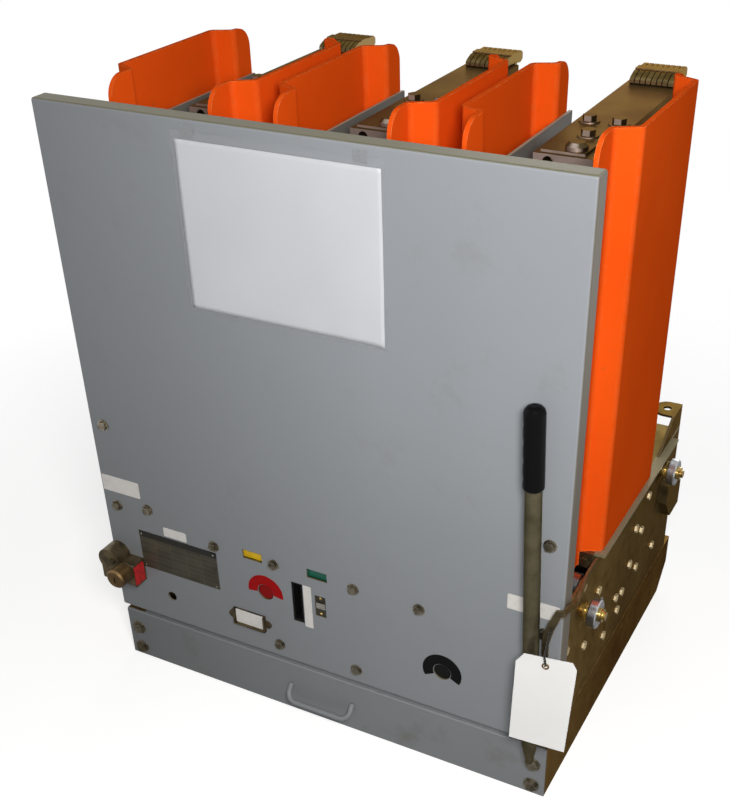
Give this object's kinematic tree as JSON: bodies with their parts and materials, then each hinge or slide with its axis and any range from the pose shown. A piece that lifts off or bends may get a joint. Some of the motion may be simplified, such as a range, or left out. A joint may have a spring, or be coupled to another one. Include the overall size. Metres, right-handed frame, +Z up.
{
  "type": "drawout vacuum circuit breaker",
  "caption": "Indoor drawout vacuum circuit breaker: flat front cover, moulded phase supports, side track rollers, rear finger contacts and a spring-charged mechanism.",
  "frame": {"origin": "on the floor plane, on the centre line, in the plane of the front cover's face", "axes": "+Z up, +Y from the front cover towards the rear contacts, +X to the right of someone facing the cover"},
  "size_m": [0.7932, 0.685, 0.9],
  "materials": {
    "cover_paint": "satin",
    "panel_paint": "satin",
    "chromate": "satin",
    "zinc": "satin",
    "polyester": "matte",
    "copper": "satin",
    "silvered": "satin",
    "ceramic": "glossy",
    "rod_insulation": "satin",
    "steel": "satin",
    "roller_steel": "satin",
    "bronze": "satin",
    "plate_brown": "satin",
    "black": "glossy",
    "tube_brown": "satin",
    "red": "glossy",
    "yellow": "satin",
    "green": "satin",
    "motor_black": "satin"
  },
  "bodies": {
    "frame": {"base_cross_members": "chromate", "base_side_left": "chromate", "base_side_right": "chromate", "card_holder": "bronze", "charge_slot": "black", "charging_motor": "motor_black", "closing_spring": "steel", "counter": "plate_brown", "cover_posts": "chromate", "front_cover": "cover_paint", "front_fasteners": "zinc", "interrupter_1": "ceramic", "interrupter_2": "ceramic", "interrupter_3": "ceramic", "key_lock_body": "bronze", "lever_clip": "chromate", "lower_bar_1": "copper", "lower_bar_2": "copper", "lower_bar_3": "copper", "lower_fingers_1": "silvered", "lower_fingers_2": "silvered", "lower_fingers_3": "silvered", "lower_front_panel": "panel_paint", "mech_deck": "chromate", "mech_front_plate": "chromate", "mech_plates": "chromate", "mech_side_left": "chromate", "mech_side_right": "chromate", "pole_braces": "chromate", "pole_support_1": "polyester", "pole_support_2": "polyester", "pole_support_3": "polyester", "pull_handle": "panel_paint", "rating_plate": "plate_brown", "release_coils": "motor_black", "roller_pins": "zinc", "upper_bar_1": "copper", "upper_bar_2": "copper", "upper_bar_3": "copper", "upper_fingers_1": "silvered", "upper_fingers_2": "silvered", "upper_fingers_3": "silvered"},
    "main_shaft": {"main_shaft": "steel"},
    "cam_shaft": {"cam_shaft": "steel"},
    "guide_roller": {"guide_roller": "roller_steel"},
    "charging_handle": {"charging_handle": "tube_brown", "handle_grip": "black"},
    "key_cylinder": {"key_lock_cylinder": "bronze"},
    "trip_button": {"trip_button": "red"},
    "close_button": {"close_button": "black"},
    "spring_flag": {"spring_flag": "yellow"},
    "position_flag": {"position_flag": "green"},
    "track_roller_front_left": {"track_roller_front_left": "roller_steel"},
    "track_roller_rear_left": {"track_roller_rear_left": "roller_steel"},
    "track_roller_front_right": {"track_roller_front_right": "roller_steel"},
    "track_roller_rear_right": {"track_roller_rear_right": "roller_steel"},
    "contact_1": {"contact_rod_1": "rod_insulation"},
    "contact_2": {"contact_rod_2": "rod_insulation"},
    "contact_3": {"contact_rod_3": "rod_insulation"}
  },
  "joints": [
    {"name": "main_shaft_turn", "type": "hinge", "parent": "frame", "child": "main_shaft", "pos_m": [0, 0.195, 0.205], "axis": [1, 0, 0], "range_deg": [0, 14]},
    {"name": "charging_shaft_turn", "type": "hinge", "parent": "frame", "child": "cam_shaft", "pos_m": [0, 0.095, 0.19], "axis": [1, 0, 0], "continuous": true},
    {"name": "guide_roller_spin", "type": "hinge", "parent": "frame", "child": "guide_roller", "pos_m": [0.3472, 0.118, 0.293], "axis": [1, 0, 0], "continuous": true},
    {"name": "track_roller_front_left_spin", "type": "hinge", "parent": "frame", "child": "track_roller_front_left", "pos_m": [-0.3808, 0.106, 0.264], "axis": [1, 0, 0], "continuous": true},
    {"name": "track_roller_rear_left_spin", "type": "hinge", "parent": "frame", "child": "track_roller_rear_left", "pos_m": [-0.3808, 0.462, 0.291], "axis": [1, 0, 0], "continuous": true},
    {"name": "track_roller_front_right_spin", "type": "hinge", "parent": "frame", "child": "track_roller_front_right", "pos_m": [0.3808, 0.106, 0.264], "axis": [1, 0, 0], "continuous": true},
    {"name": "track_roller_rear_right_spin", "type": "hinge", "parent": "frame", "child": "track_roller_rear_right", "pos_m": [0.3808, 0.462, 0.291], "axis": [1, 0, 0], "continuous": true},
    {"name": "contact_1_slide", "type": "slide", "parent": "frame", "child": "contact_1", "axis": [0, 0, 1], "range_m": [0, 0.011]},
    {"name": "contact_2_slide", "type": "slide", "parent": "frame", "child": "contact_2", "axis": [0, 0, 1], "range_m": [0, 0.011]},
    {"name": "contact_3_slide", "type": "slide", "parent": "frame", "child": "contact_3", "axis": [0, 0, 1], "range_m": [0, 0.011]},
    {"name": "handle_draw", "type": "slide", "parent": "frame", "child": "charging_handle", "axis": [-0.0375, 0, 0.9993], "range_m": [0, 0.2]},
    {"name": "key_turn", "type": "hinge", "parent": "frame", "child": "key_cylinder", "pos_m": [-0.331, -0.028, 0.192], "axis": [0, 1, 0], "range_deg": [0, 90]},
    {"name": "trip_push", "type": "slide", "parent": "frame", "child": "trip_button", "axis": [0, 1, 0], "range_m": [0, 0.005], "stiffness_N_per_m": 600, "springref_m": -0.004},
    {"name": "close_push", "type": "slide", "parent": "frame", "child": "close_button", "axis": [0, 1, 0], "range_m": [0, 0.005], "stiffness_N_per_m": 600, "springref_m": -0.004},
    {"name": "spring_flag_slide", "type": "slide", "parent": "frame", "child": "spring_flag", "axis": [0, 0, -1], "range_m": [0, 0.017]},
    {"name": "position_flag_slide", "type": "slide", "parent": "frame", "child": "position_flag", "axis": [0, 0, -1], "range_m": [0, 0.017]}
  ],
  "couplings": [
    {"joint": "contact_1_slide", "follows": "main_shaft_turn", "m_per_rad": 0.045},
    {"joint": "contact_2_slide", "follows": "main_shaft_turn", "m_per_rad": 0.045},
    {"joint": "contact_3_slide", "follows": "main_shaft_turn", "m_per_rad": 0.045},
    {"joint": "position_flag_slide", "follows": "main_shaft_turn", "m_per_rad": 0.0695}
  ]
}
